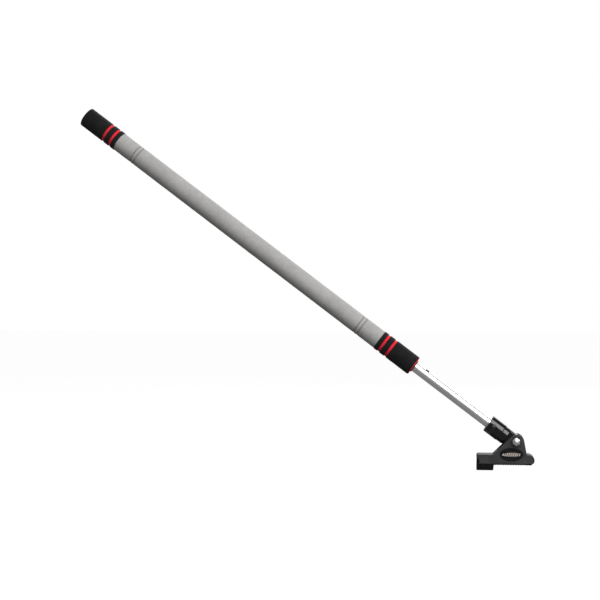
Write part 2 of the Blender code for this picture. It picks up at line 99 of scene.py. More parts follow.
wall_light, room_light = 1.0, 0.23  # what the camera sees behind the bar, and what lights the bar
plain_white = (1.0, 1.0, 1.0, 1.0)
world = bpy.data.worlds.new("studio")
world.use_nodes = True
bpy.context.scene.world = world
room = world.node_tree.nodes["Background"]
wall = world.node_tree.nodes.new("ShaderNodeBackground")
for light, strength in ((room, room_light), (wall, wall_light)):
    light.inputs["Color"].default_value = plain_white
    light.inputs["Strength"].default_value = strength
seen = world.node_tree.nodes.new("ShaderNodeLightPath")
either = world.node_tree.nodes.new("ShaderNodeMixShader")
for output, socket in (
    (seen.outputs["Is Camera Ray"], either.inputs[0]),
    (room.outputs[0], either.inputs[1]),
    (wall.outputs[0], either.inputs[2]),
    (either.outputs[0], world.node_tree.nodes["World Output"].inputs["Surface"]),
):
    world.node_tree.links.new(output, socket)


class Socket:
    """An output of a node. Arithmetic on it adds Math nodes to its finish."""

    def __init__(self, finish, output):
        self.finish, self.output = finish, output

    def maths(self, operation, first, second):
        return self.finish.node("ShaderNodeMath", {"operation": operation}, {0: first, 1: second})

    def __add__(self, other):
        return self.maths("ADD", self, other)

    def __radd__(self, other):
        return self.maths("ADD", other, self)

    def __sub__(self, other):
        return self.maths("SUBTRACT", self, other)

    def __rsub__(self, other):
        return self.maths("SUBTRACT", other, self)

    def __mul__(self, other):
        return self.maths("MULTIPLY", self, other)

    def __rmul__(self, other):
        return self.maths("MULTIPLY", other, self)

    def __abs__(self):
        return self.maths("ABSOLUTE", self, 0.0)


class Finish:
    """A material with one Principled shader. What is the same all over is set on the shader itself."""

    def __init__(self, name, constants):
        self.material = bpy.data.materials.new(name)
        self.material.use_nodes = True
        self.tree = self.material.node_tree
        self.shader = self.tree.nodes["Principled BSDF"]
        for socket, value in constants.items():
            self.shader.inputs[socket].default_value = value

    def node(self, kind, settings=None, sockets=None, output=0):
        made = self.tree.nodes.new(kind)
        for name, value in (settings or {}).items():
            setattr(made, name, value)
        for name, value in (sockets or {}).items():
            self.feed(made.inputs[name], value)
        return Socket(self, made.outputs[output])

    def feed(self, socket, value):
        if isinstance(value, Socket):
            self.tree.links.new(value.output, socket)
        else:
            socket.default_value = value

    def varies(self, sockets):
        for name, value in sockets.items():
            self.feed(self.shader.inputs[name], value)


def on_piece(finish, scale=(1.0, 1.0, 1.0)):
    """The place on the piece, in metres, stretched by the scale."""
    place = finish.node("ShaderNodeTexCoord", output="Object")
    return finish.node("ShaderNodeMapping", {"vector_type": "TEXTURE"}, {"Vector": place, "Scale": scale})


def noise(finish, place, per_metre, detail=2.0):
    return finish.node("ShaderNodeTexNoise", None, {"Vector": place, "Scale": per_metre, "Detail": detail})


def between(finish, value, low, high, at_low=0.0, at_high=1.0):
    """Goes softly from one number to another while the value goes from low to high."""
    limits = {"Value": value, "From Min": low, "From Max": high, "To Min": at_low, "To Max": at_high}
    return finish.node("ShaderNodeMapRange", {"interpolation_type": "SMOOTHSTEP"}, limits)


def tint(finish, mask, low, high):
    """One colour where the mask is 0 and the other where it is 1."""
    return finish.node("ShaderNodeMix", {"data_type": "RGBA"}, {0: mask, 6: (*low, 1.0), 7: (*high, 1.0)}, 2)


def bump(finish, height, depth, strength=1.0):
    return finish.node("ShaderNodeBump", None, {"Height": height, "Distance": depth, "Strength": strength})


def wears(piece, *finishes):
    """Gives a piece its finishes, or a CAD node the finish in each of its material slots."""
    if piece.material_slots:
        for place in piece.material_slots:
            place.material = finishes[0].material
    else:
        for finish in finishes:
            piece.data.materials.append(finish.material)


floor_glow, floor_size, floor_gap = 0.97, 30.0, 0.0005
floor_white = Finish(
    "studio_floor",
    {
        "Roughness": 0.9,
        "Specular IOR Level": 0.0,
        "Emission Color": plain_white,
        "Emission Strength": floor_glow,
    },
)
dulled = noise(floor_white, on_piece(floor_white), 3.0)
floor_white.varies({"Base Color": tint(floor_white, dulled, (0.045,) * 3, (0.055,) * 3)})
bpy.ops.object.select_all(action="DESELECT")
bpy.ops.mesh.primitive_plane_add(size=floor_size, location=(0.0, 0.0, cad_box[0][2] - floor_gap))
floor = bpy.context.object
floor.name = "studio_floor"
bpy.ops.object.transform_apply(location=True, rotation=True, scale=True)
wears(floor, floor_white)
floor.visible_diffuse = floor.visible_glossy = False


# ---- foot moulding ----
# The foot is one black glass-filled nylon moulding: a flat base with a rounded nose, and two cheeks
# that hold the bar's tongue between them. Its edges are soft, and a parting line runs round its middle.
pin = Vector(joints["foot_pivot"]["pos_m"])
foot_low, foot_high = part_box("foot_body")
half_depth = foot_high.y
base_top = 0.0256
cheek_top_r = 0.0180
crown = pin + Vector((0.0015, 0.0, -0.001))  # middle of the cheeks' round top
cheek_left, cheek_right = -0.0560, 0.0255
cheek_inner = 0.0146
slot_floor = 0.033
nose_low_r, nose_top_r, nose_plan_r = 0.0072, 0.0155, 0.011
end_top_r, end_plan_r = 0.004, 0.003
clear = 0.03  # how far a cutting tool reaches past the piece
near = 1e-5


def block(name, low, high):
    """A cube stretched between two corners."""
    low, high = Vector(low), Vector(high)
    bpy.ops.object.select_all(action="DESELECT")
    bpy.ops.mesh.primitive_cube_add(size=1.0, location=(low + high) / 2, scale=high - low)
    made = bpy.context.object
    made.name = made.data.name = name
    bpy.ops.object.transform_apply(location=True, rotation=True, scale=True)
    return made


def round_edges(piece, picked, radius, segments):
    """Bevels the edges whose two ends pass the test."""
    activate(piece)
    bpy.ops.object.mode_set(mode="EDIT")
    bpy.ops.mesh.select_mode(type="EDGE")
    bpy.ops.mesh.select_all(action="DESELECT")
    shape = bmesh.from_edit_mesh(piece.data)
    for edge in shape.edges:
        edge.select_set(all(picked(corner.co) for corner in edge.verts))
    bmesh.update_edit_mesh(piece.data)
    bpy.ops.mesh.bevel(offset=radius, segments=segments, affect="EDGES")
    bpy.ops.object.mode_set(mode="OBJECT")


def activate(piece):
    bpy.ops.object.select_all(action="DESELECT")
    piece.select_set(True)
    bpy.context.view_layer.objects.active = piece


def modify(piece, kind, **settings):
    """Adds a modifier, sets it and applies it."""
    activate(piece)
    bpy.ops.object.modifier_add(type=kind)
    modifier = piece.modifiers[-1]
    for name, value in settings.items():
        setattr(modifier, name, value)
    bpy.ops.object.modifier_apply(modifier=modifier.name)


def combine(piece, tool, operation="DIFFERENCE", solver="EXACT"):
    """Cuts a tool from a piece, or joins or meets the two, and uses the tool up."""
    modify(piece, "BOOLEAN", operation=operation, solver=solver, object=tool)
    bpy.data.objects.remove(tool)


def cylinder(name, radius, low, high, middle=(0.0, 0.0, 0.0), turn=(0.0, 0.0, 0.0), sides=64):
    """A cylinder along its own +Z from low to high, turned, then moved to the middle."""
    bpy.ops.object.select_all(action="DESELECT")
    bpy.ops.mesh.primitive_cylinder_add(
        vertices=sides, radius=radius, depth=high - low, location=(0.0, 0.0, (low + high) / 2)
    )
    made = bpy.context.object
    made.name = made.data.name = name
    bpy.ops.object.transform_apply(location=True, rotation=True, scale=True)
    return put(made, middle, turn)


def put(piece, middle, turn):
    """Turns and moves a piece that was made at the origin, and applies that to its mesh."""
    activate(piece)
    piece.rotation_euler = turn
    piece.location = middle
    bpy.ops.object.transform_apply(location=True, rotation=True, scale=True)
    return piece


def slice_off(piece, point, outward):
    """Cuts off what lies beyond a plane and closes the cut."""
    activate(piece)
    bpy.ops.object.mode_set(mode="EDIT")
    bpy.ops.mesh.select_all(action="SELECT")
    bpy.ops.mesh.bisect(plane_co=point, plane_no=outward, use_fill=True, clear_outer=True)
    bpy.ops.object.mode_set(mode="OBJECT")


def touch(centre, radius, x, z, side):
    """Where a line from (x, z) touches a circle about a Y axis, and which way is out there."""
    dx, dz = x - centre.x, z - centre.z
    angle = math.atan2(dz, dx) + side * math.acos(radius / math.hypot(dx, dz))
    outward = Vector((math.cos(angle), 0.0, math.sin(angle)))
    return Vector((centre.x, 0.0, centre.z)) + radius * outward, outward


to_back = (-math.pi / 2, 0.0, 0.0)  # turns +Z onto +Y
foot_moulding = block("foot_moulding", foot_low, (foot_high.x, half_depth, base_top))
round_edges(foot_moulding, lambda c: c.x > foot_high.x - near and c.z < foot_low.z + near, nose_low_r, 8)
round_edges(foot_moulding, lambda c: c.x > foot_high.x - near and c.z > base_top - near, nose_top_r, 12)
round_edges(foot_moulding, lambda c: c.x < foot_low.x + near and c.z > base_top - near, end_top_r, 5)
plan_bottom, plan_top = -0.1, 0.2
plan = block("foot_plan", (foot_low.x, -half_depth, plan_bottom), (foot_high.x, half_depth, plan_top))
for side in (1, -1):
    round_edges(plan, lambda c: c.x > foot_high.x - near and side * c.y > 0, nose_plan_r, 10)
for side in (1, -1):
    round_edges(plan, lambda c: c.x < foot_low.x + near and side * c.y > 0, end_plan_r, 5)
combine(foot_moulding, plan, "INTERSECT")

cheek_spare, cheek_root = 0.02, 0.004  # cut off again at the sides, and sunk into the base
cheeks = block(
    "cheeks",
    (cheek_left - cheek_spare, -half_depth, foot_low.z + cheek_root),
    (cheek_right + cheek_spare, half_depth, foot_high.z),
)
left_spot, left_out = touch(crown, cheek_top_r, cheek_left, base_top, -1)
right_spot, right_out = touch(crown, cheek_top_r, cheek_right, base_top, 1)
slice_off(cheeks, left_spot, left_out)
slice_off(cheeks, right_spot, right_out)
chord = right_spot - left_spot
slice_off(cheeks, left_spot, (-chord.z, 0.0, chord.x))
slice_off(cheeks, (cheek_left - 0.003, 0.0, 0.0), (-1.0, 0.0, 0.0))
slice_off(cheeks, (cheek_right + 0.002, 0.0, 0.0), (1.0, 0.0, 0.0))
combine(foot_moulding, cheeks, "UNION")
cheek_tops = cylinder("cheek_tops", cheek_top_r, -half_depth, half_depth, crown, to_back, 96)
combine(foot_moulding, cheek_tops, "UNION")
slot_past, slot_top = 0.01, 0.12
slot_low = (cheek_left - slot_past, -cheek_inner, slot_floor)
slot_high = (cheek_right + slot_past, cheek_inner, slot_top)
combine(foot_moulding, block("clevis_slot", slot_low, slot_high))
lip_low, lip_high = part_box("lip_block")
upstand, seam = 0.006, 0.0003
rebate_low = (foot_low.x - clear, -clear, -clear)
rebate_high = (foot_low.x + upstand + seam, clear, lip_high.z + seam)
combine(foot_moulding, block("lip_rebate", rebate_low, rebate_high))
modify(foot_moulding, "REMESH", mode="VOXEL", voxel_size=0.0007, use_smooth_shade=True)
modify(foot_moulding, "SMOOTH", factor=0.5, iterations=10)
pin_r, pin_play = 0.005, 0.0003
pin_holes = cylinder("pin_holes", pin_r + pin_play, -clear, clear, pin, to_back)
combine(foot_moulding, pin_holes, solver="MANIFOLD")

black_moulding = Finish("black_moulding", {"Specular IOR Level": 0.45})
place = on_piece(black_moulding)
grain = noise(black_moulding, place, 900.0, 3.0)
cloud = noise(black_moulding, place, 55.0, 3.0)
streaks = noise(black_moulding, on_piece(black_moulding, (3.0, 1.0, 1.0)), 240.0, 4.0)
rubbed = between(black_moulding, streaks, 0.56, 0.74)
split = black_moulding.node("ShaderNodeSeparateXYZ", None, {0: place}, 1)
parting = between(black_moulding, abs(split), 0.00015, 0.00045, 1.0, 0.0)
shade = between(black_moulding, cloud + rubbed * 0.3, 0.3, 0.95)
black_moulding.varies(
    {
        "Base Color": tint(black_moulding, shade, (0.017, 0.017, 0.0174), (0.032, 0.032, 0.0325)),
        "Roughness": 0.42 + 0.16 * cloud + 0.1 * grain - 0.08 * rubbed,
        "Normal": bump(black_moulding, grain + parting * 1.5, 0.00012, 0.8),
    }
)
wears(foot_moulding, black_moulding)


# ---- badges ----
# An oval plate of dark plastic lies in a shallow recess on each cheek. It has a raised rim and a plain
# row of slanted bars, printed in light beige.
badge_low, badge_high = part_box("badge_front")
badge_middle = (badge_low + badge_high) / 2
badge_half = (badge_high - badge_low) / 2
badge_recess, badge_gap = 0.0015, 0.0004
mark_heights = (0.0062, 0.0080, 0.0094, 0.0102, 0.0106, 0.0102, 0.0094, 0.0080, 0.0062)
mark_half_wide, mark_half_thick, mark_edge = 0.0012, 0.0004, 0.0003
mark_pitch, mark_lean = 0.0049, math.radians(24)
badge_black = Finish("badge_black", {"Specular IOR Level": 0.15})
place = on_piece(badge_black)
fine = noise(badge_black, place, 1500.0, 2.0)
soft = noise(badge_black, place, 90.0, 2.0)
badge_black.varies(
    {
        "Base Color": tint(badge_black, soft, (0.004, 0.004, 0.0042), (0.010, 0.010, 0.0105)),
        "Roughness": 0.3 + 0.2 * soft,
        "Normal": bump(badge_black, fine, 0.00004),
    }
)
badge_print = Finish("badge_print", {"Specular IOR Level": 0.35})
place = on_piece(badge_print)
worn = between(badge_print, noise(badge_print, place, 700.0, 4.0), 0.35, 0.7)
badge_print.varies(
    {
        "Base Color": tint(badge_print, worn, (0.42, 0.36, 0.33), (0.62, 0.54, 0.50)),
        "Roughness": 0.5 + 0.2 * worn,
        "Normal": bump(badge_print, worn, 0.00005),
    }
)


def oval(name, half_long, half_high, low, high, middle, sides=96):
    """An oval plate across X and Z, from low to high along Y."""
    made = cylinder(name, 1.0, low, high, (0.0, 0.0, 0.0), to_back, sides)
    made.scale = (half_long, 1.0, half_high)
    return put(made, (middle.x, 0.0, middle.z), (0.0, 0.0, 0.0))


def push_face(piece, side, steps):
    """Insets the outer face on a side, again and again, and pushes it in or out each time."""
    activate(piece)
    bpy.ops.object.mode_set(mode="EDIT")
    bpy.ops.mesh.select_mode(type="FACE")
    bpy.ops.mesh.select_all(action="DESELECT")
    shape = bmesh.from_edit_mesh(piece.data)
    max(shape.faces, key=lambda face: side * face.calc_center_median().y).select_set(True)
    bmesh.update_edit_mesh(piece.data)
    for inset, out in steps:
        bpy.ops.mesh.inset(thickness=inset)
        bpy.ops.transform.translate(value=(0.0, side * out, 0.0))
    bpy.ops.object.mode_set(mode="OBJECT")


def smooth_shade(piece, degrees):
    """Shades the piece smooth, but for edges sharper than the angle."""
    activate(piece)
    bpy.ops.object.shade_smooth_by_angle(angle=math.radians(degrees))


for side, where in ((-1, "front"), (1, "back")):
    face = side * half_depth
    well = sorted((face - side * badge_recess, face + side * 0.004))
    well_cutter = oval("badge_well", badge_half.x + badge_gap, badge_half.z + badge_gap, *well, badge_middle)
    combine(foot_moulding, well_cutter, solver="MANIFOLD")
    ends = sorted((face - side * (badge_recess - 0.0003), face + side * 0.0004))
    badge = oval("badge_plate_" + where, badge_half.x, badge_half.z, *ends, badge_middle)
    push_face(badge, side, ((0.0003, 0.0001), (0.0012, 0.0), (0.0004, -0.0006)))
    wears(badge, badge_black)
    marks = []
    for number, tall in enumerate(mark_heights):
        corner = Vector((mark_half_wide, mark_half_thick, tall / 2))
        mark = block("mark", -corner, corner)
        round_edges(mark, lambda c: c.x > 0, mark_edge, 2)
        round_edges(mark, lambda c: c.x < 0, mark_edge, 2)
        put(mark, (0.0, 0.0, 0.0), (0.0, mark_lean, 0.0))
        across = badge_middle.x + (number - len(mark_heights) // 2) * mark_pitch
        put(mark, (across, face - side * 0.0001, badge_middle.z), (0.0, 0.0, 0.0))
        wears(mark, badge_print)
        marks.append(mark)
    activate(badge)
    for mark in marks:
        mark.select_set(True)
    bpy.ops.object.join()
    smooth_shade(badge, 35)
    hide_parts("badge_" + where)
    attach(badge, "foot")

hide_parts("foot_body")
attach(foot_moulding, "foot")


# ---- sole and hooked lip ----
# The sole is a thin strip of black rubber with cross ribs. The lip is a solid rubber block, turned up
# over the base's end and held from below by two screws with sunk heads.
black_rubber = Finish("black_rubber", {"Specular IOR Level": 0.1})
place = on_piece(black_rubber)
pores = noise(black_rubber, place, 1400.0, 3.0)
dust = between(black_rubber, noise(black_rubber, place, 120.0, 4.0), 0.4, 0.75)
black_rubber.varies(
    {
        "Base Color": tint(black_rubber, dust, (0.002, 0.002, 0.0021), (0.008, 0.0078, 0.0076)),
        "Roughness": 0.66 + 0.2 * dust,
        "Normal": bump(black_rubber, pores, 0.00012),
    }
)
sole_low, sole_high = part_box("sole_pad")
sole = block("ribbed_sole", sole_low, sole_high)
slice_off(sole, (sole_high.x, 0.0, sole_high.z), (0.66, 0.0, -0.75))
rib_pitch, rib_gap, rib_deep, plain_end = 0.0062, 0.0016, 0.0009, 0.006
rib_count = int((sole_high.x - sole_low.x - 2 * plain_end) / rib_pitch)
first_gap = sole_low.x + plain_end
gaps = block("rib_gaps", (first_gap, -0.04, -0.01), (first_gap + rib_gap, 0.04, rib_deep))
modify(
    gaps,
    "ARRAY",
    count=rib_count,
    use_relative_offset=False,
    use_constant_offset=True,
    constant_offset_displace=(rib_pitch, 0.0, 0.0),
)
combine(sole, gaps)
modify(sole, "BEVEL", width=0.0003, segments=2, limit_method="ANGLE", angle_limit=math.radians(40))
wears(sole, black_rubber)
smooth_shade(sole, 35)
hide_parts("sole_pad")
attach(sole, "foot")

lip = block("hooked_lip", lip_low, (lip_high.x, lip_high.y, sole_high.z))
turned_up_low = (lip_low.x + seam, lip_low.y, 0.0)
turned_up_high = (lip_low.x + upstand, lip_high.y, lip_high.z)
combine(lip, block("lip_upstand", turned_up_low, turned_up_high), "UNION")
slice_off(lip, (lip_high.x, 0.0, -0.0006), (0.9928, 0.0, -0.1201))
modify(lip, "BEVEL", width=0.0009, segments=3, limit_method="ANGLE", angle_limit=math.radians(40))
screw_well_r, screw_well_top, screw_way_r, screw_hole_top = 0.0049, -0.008, 0.0023, 0.0135
for name in ("lip_screw_1", "lip_screw_2"):
    screw_low, screw_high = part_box(name)
    under = ((screw_low.x + screw_high.x) / 2, 0.0, 0.0)
    combine(lip, cylinder("screw_well", screw_well_r, -clear, screw_well_top, under))
    combine(lip, cylinder("screw_way", screw_way_r, -clear, clear, under, sides=32))
    hole = cylinder("screw_hole", screw_way_r, -clear, screw_hole_top, under, sides=32)
    combine(foot_moulding, hole, solver="MANIFOLD")
wears(lip, black_rubber)
smooth_shade(lip, 35)
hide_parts("lip_block")
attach(lip, "foot")

dark_steel = Finish("dark_steel", {"Metallic": 0.9})
place = on_piece(dark_steel)
scratches = noise(dark_steel, on_piece(dark_steel, (1.0, 1.0, 6.0)), 1600.0, 3.0)
patchy = noise(dark_steel, place, 300.0, 3.0)
dark_steel.varies(
    {
        "Base Color": tint(dark_steel, patchy, (0.03, 0.03, 0.032), (0.075, 0.073, 0.07)),
        "Roughness": 0.3 + 0.22 * patchy,
        "Normal": bump(dark_steel, scratches, 0.00003),
    }
)
nodes = frame["nodes"]
for name in ("lip_screw_1", "lip_screw_2"):
    wears(nodes[name], dark_steel)


# ---- hinge bolt, dome nut and washers ----
# A zinc-plated hexagon bolt goes through both cheeks from behind, and a dome nut closes it in front.
# Dark steel washers lie under both, and nylon washers between the cheeks and the tongue.
bright_zinc = Finish("bright_zinc", {"Metallic": 1.0})
place = on_piece(bright_zinc)
turning = noise(bright_zinc, place, 1300.0, 3.0)
spangle = noise(bright_zinc, place, 420.0, 3.0)
bright_zinc.varies(
    {
        "Base Color": tint(bright_zinc, spangle, (0.72, 0.72, 0.71), (0.88, 0.88, 0.86)),
        "Roughness": 0.28 + 0.18 * spangle,
        "Normal": bump(bright_zinc, turning, 0.00003),
    }
)
white_nylon = Finish("white_nylon", {"Specular IOR Level": 0.4, "Subsurface Weight": 0.1})
place = on_piece(white_nylon)
haze = noise(white_nylon, place, 200.0, 3.0)
white_nylon.varies(
    {
        "Base Color": tint(white_nylon, haze, (0.66, 0.64, 0.57), (0.76, 0.74, 0.68)),
        "Roughness": 0.4 + 0.2 * haze,
        "Normal": bump(white_nylon, haze, 0.00006),
    }
)


def lathe(name, rings, sides=96, bored=True):
    """Draws a circle out through (radius, height) rings about +Z, and closes it on itself or at its ends."""
    bpy.ops.object.select_all(action="DESELECT")
    radius, height = rings[0]
    bpy.ops.mesh.primitive_circle_add(vertices=sides, radius=radius, location=(0.0, 0.0, height))
    made = bpy.context.object
    made.name = made.data.name = name
    bpy.ops.object.mode_set(mode="EDIT")
    bpy.ops.mesh.select_mode(type="VERT")
    bpy.ops.mesh.select_all(action="SELECT")
    for next_radius, next_height in rings[1:]:
        bpy.ops.mesh.extrude_region_move(TRANSFORM_OT_translate={"value": (0.0, 0.0, next_height - height)})
        change = next_radius / radius
        bpy.ops.transform.resize(value=(change, change, 1.0), center_override=(0.0, 0.0, next_height))
        radius, height = next_radius, next_height
    bpy.ops.mesh.select_all(action="DESELECT")
    bpy.ops.mesh.select_non_manifold()
    if bored:
        bpy.ops.mesh.bridge_edge_loops()
    else:
        bpy.ops.mesh.fill_holes(sides=0)
    bpy.ops.mesh.select_all(action="SELECT")
    bpy.ops.mesh.normals_make_consistent(inside=False)
    bpy.ops.object.mode_set(mode="OBJECT")
    bpy.ops.object.transform_apply(location=True, rotation=True, scale=True)
    smooth_shade(made, 35)
    return made


to_front = (math.pi / 2, 0.0, 0.0)  # turns +Z onto -Y
hexagon_r = 0.0085 / math.cos(math.pi / 6)


def hexagon(name, corner_r, low, high, chamfer_low, chamfer_high):
    """A hexagon with a corner on its Y axis, and its corners turned off at either end."""
    made = cylinder(name, corner_r, low, high, (0.0, 0.0, 0.0), (0.0, 0.0, 0.0), 6)
    turned_r = corner_r * math.cos(math.pi / 6) - 0.0002
    run = (corner_r - turned_r) * 0.55
    uncut_r = corner_r + 0.001
    rings = [
        (turned_r if chamfer_low else uncut_r, low - near),
        (corner_r + 0.0001, low + run),
        (corner_r + 0.0001, high - run),
        (turned_r if chamfer_high else uncut_r, high + near),
    ]
    combine(made, lathe("turned_limit", rings, 64, bored=False), "INTERSECT")
    modify(made, "BEVEL", width=0.00015, segments=2, limit_method="ANGLE", angle_limit=math.radians(50))
    return made


nut_low, nut_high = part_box("dome_nut")
seat = -nut_high.y  # distances here are out from the foot's middle, towards the front
nut_face = seat + 0.008
dome_r, dome_collar, dome_step = 0.0074, 0.0006, 0.0004
dome_foot = nut_face + dome_step
dome_high = -nut_low.y - dome_foot
dome_nut = hexagon("dome_nut_plated", hexagon_r, seat, nut_face, True, True)
dome_rings = [(dome_r + dome_collar, nut_face - 0.001), (dome_r + dome_collar, nut_face), (dome_r, dome_foot)]
for step in range(1, 12):
    climb = math.radians(8 * step)
    dome_rings.append((dome_r * math.cos(climb), dome_foot + dome_high * math.sin(climb)))
combine(dome_nut, lathe("dome", dome_rings, 64, bored=False), "UNION")
combine(dome_nut, cylinder("thread", pin_r + pin_play, seat - 0.002, nut_face + 0.001))
put(dome_nut, pin, to_front)
smooth_shade(dome_nut, 30)
wears(dome_nut, bright_zinc)
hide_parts("dome_nut")
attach(dome_nut, "foot")

bolt_low, bolt_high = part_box("hinge_bolt")
head_low = half_depth + 0.0022
lead = 0.0008
bolt = hexagon("hinge_bolt_plated", hexagon_r, head_low, bolt_high.y, False, True)
shank = [(pin_r - lead, bolt_low.y), (pin_r, bolt_low.y + lead), (pin_r, head_low + 0.001)]
combine(bolt, lathe("shank", shank, 48, bored=False), "UNION")
put(bolt, pin, to_back)
smooth_shade(bolt, 30)
wears(bolt, bright_zinc)
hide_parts("hinge_bolt")
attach(bolt, "foot")

for where in ("front", "back"):
    low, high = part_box("washer_" + where)
    outer_r = (high.x - low.x) / 2
    inner_r, edge = pin_r + pin_play, 0.0003
    rings = [
        (inner_r, low.y),
        (outer_r - edge, low.y),
        (outer_r, low.y + edge),
        (outer_r, high.y - edge),
        (outer_r - edge, high.y),
        (inner_r, high.y),
    ]
    washer = put(lathe("hinge_washer_" + where, rings, 64), pin, to_back)
    wears(washer, dark_steel)
    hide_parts("washer_" + where)
    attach(washer, "foot")
    wears(nodes["friction_washer_" + where], white_nylon)


# ---- tube socket ----
# A glossy black moulding holds the tube's lower end. It is round at its mouth and runs into a flat
# tongue that turns on the hinge bolt, in a steel sleeve.
bar_start = Vector(joints["bar_twist"]["pos_m"])
bar_turn = math.atan2(bar_way.x, bar_way.z)  # turns +Z onto the bar, about Y


def along_bar(name):
    """How far up the bar a CAD node starts and ends, and how far it reaches from the tube's axis."""
    points = [vertex.co - bar_start for vertex in nodes[name].data.vertices]
    heights = [point.dot(bar_way) for point in points]
    reach = max((point - height * bar_way).length for point, height in zip(points, heights))
    return min(heights), max(heights), reach


def on_bar(piece):
    """Lays a piece that was made about +Z along the bar."""
    return put(piece, bar_start, (0.0, bar_turn, 0.0))


socket_mouth = along_bar("tube_socket")[1]
socket_shoulder = 0.0405
socket_r = 0.0225
neck_r = 0.0213
neck_end = 0.0240
tongue_half = 0.0134
tongue_tip_r = 0.016
bar_up = Vector((bar_way.z, 0.0, -bar_way.x))  # the bar's upper side
pin_up = (pin - bar_start).dot(bar_up)
tube_r = 0.0127
pin_on_bar = Vector((pin_up, 0.0, 0.0))

socket_rings = [
    (neck_r - 0.002, neck_end),
    (neck_r - 0.0006, neck_end + 0.0006),
    (neck_r, neck_end + 0.002),
    (neck_r, socket_shoulder),
    (socket_r, socket_shoulder + 0.001),
    (socket_r, socket_mouth - 0.001),
    (socket_r - 0.001, socket_mouth),
]
socket = lathe("gloss_socket", socket_rings, bored=False)
tongue_edge = neck_r - 0.0004
tongue = block("tongue", (-tongue_edge, -tongue_half, 0.0), (tongue_edge, tongue_half, neck_end + 0.006))
heel_spot, heel_out = touch(pin_on_bar, tongue_tip_r, -tongue_edge, 0.0275, 1)
slice_off(tongue, heel_spot, heel_out)
combine(tongue, cylinder("tongue_round", neck_r - 0.0003, -clear, 0.06, sides=96), "INTERSECT")
tongue_tip = cylinder("tongue_tip", tongue_tip_r, -tongue_half, tongue_half, pin_on_bar, to_back, 96)
combine(tongue, tongue_tip, "UNION")
combine(socket, tongue, "UNION")
modify(socket, "REMESH", mode="VOXEL", voxel_size=0.0006, use_smooth_shade=True)
modify(socket, "SMOOTH", factor=0.5, iterations=8)
bore_floor, sleeve_bore_r = 0.043, 0.0073
tube_bore_cut = cylinder("tube_bore", tube_r + 0.0003, bore_floor, 0.2, sides=96)
combine(socket, tube_bore_cut, solver="MANIFOLD")
pin_bore_cut = cylinder("pin_bore", sleeve_bore_r, -clear, clear, pin_on_bar, to_back)
combine(socket, pin_bore_cut, solver="MANIFOLD")
screw_points = [vertex.co - bar_start for vertex in nodes["socket_screw"].data.vertices]
screw_at = sum(point.dot(bar_way) for point in screw_points) / len(screw_points)
screw_middle = Vector((0.0, 0.0, screw_at))
screw_hole_r, seat_r, screw_seat, nut_seat = 0.0033, 0.0072, 0.0188, 0.0163
for cut in (
    cylinder("screw_hole", screw_hole_r, -clear, clear, screw_middle, to_back, 32),
    cylinder("screw_seat", seat_r, screw_seat, clear, screw_middle, to_front),
    cylinder("nut_seat", seat_r, nut_seat, clear, screw_middle, to_back),
):
    combine(socket, cut, solver="MANIFOLD")
on_bar(socket)
gloss_plastic = Finish(
    "gloss_black_plastic", {"Specular IOR Level": 0.4, "Coat Weight": 0.4, "Coat Roughness": 0.06}
)
place = on_piece(gloss_plastic)
wave = noise(gloss_plastic, place, 60.0, 2.0)
speck = noise(gloss_plastic, place, 1800.0, 3.0)
rubs = noise(gloss_plastic, on_piece(gloss_plastic, (4.0, 1.0, 1.5)), 420.0, 5.0)
scuff = between(gloss_plastic, rubs, 0.6, 0.78)
gloss_plastic.varies(
    {
        "Base Color": tint(gloss_plastic, scuff, (0.002, 0.002, 0.0021), (0.012, 0.012, 0.0125)),
        "Roughness": 0.1 + 0.06 * wave + 0.2 * scuff,
        "Normal": bump(gloss_plastic, wave + speck * 0.12, 0.00005),
    }
)
wears(socket, gloss_plastic)
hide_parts("tube_socket")
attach(socket, "inner")
wears(nodes["pivot_sleeve"], bright_zinc)


# ---- socket screw and nut ----
# A black button-head screw goes through the socket and the tube, and a zinc nut sits in a round well
# behind.
head_base, head_r, head_high, head_rim = 0.0191, 0.0066, 0.0033, 0.0006
screw_r, screw_end, drive_r, drive_floor = 0.003, -0.0226, 0.0024, 0.0011
head_rings = [(screw_r, screw_end), (screw_r, head_base), (head_r, head_base), (head_r, head_base + head_rim)]
for step in range(1, 8):
    climb = math.radians(9 * step)
    draw_in = 0.0036 * (1 - math.cos(climb)) / 0.55
    rise = (head_high - head_rim) * math.sin(climb) / 0.9
    head_rings.append((head_r - draw_in, head_base + head_rim + rise))
screw = lathe("button_screw", head_rings, 48, bored=False)
combine(screw, cylinder("hexagon_drive", drive_r, head_base + drive_floor, head_base + 0.01, sides=6))
put(screw, screw_middle, to_front)
on_bar(screw)
smooth_shade(screw, 35)
wears(screw, dark_steel)
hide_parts("socket_screw")
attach(screw, "inner")

small_r, small_low, small_high = 0.005 / math.cos(math.pi / 6), 0.0166, 0.0216
small_nut = hexagon("socket_nut_plated", small_r, small_low, small_high, False, True)
combine(small_nut, cylinder("small_thread", screw_hole_r, 0.0, clear, sides=32))
put(small_nut, screw_middle, to_back)
on_bar(small_nut)
smooth_shade(small_nut, 30)
wears(small_nut, bright_zinc)
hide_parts("socket_nut")
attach(small_nut, "inner")


# ---- inner tube ----
# One inch of drawn aluminium tube with a satin surface and faint lines along it. A hole is drilled
# in its upper front, and its upper end carries the twist lock inside the outer tube.
def bar_place(finish, scale):
    """The place in the bar's own directions, with Z along it, stretched by the scale."""
    place = finish.node("ShaderNodeTexCoord", output="Object")
    turn = {"Vector": place, "Location": bar_start, "Rotation": (0.0, bar_turn, 0.0), "Scale": scale}
    return finish.node("ShaderNodeMapping", {"vector_type": "TEXTURE"}, turn)


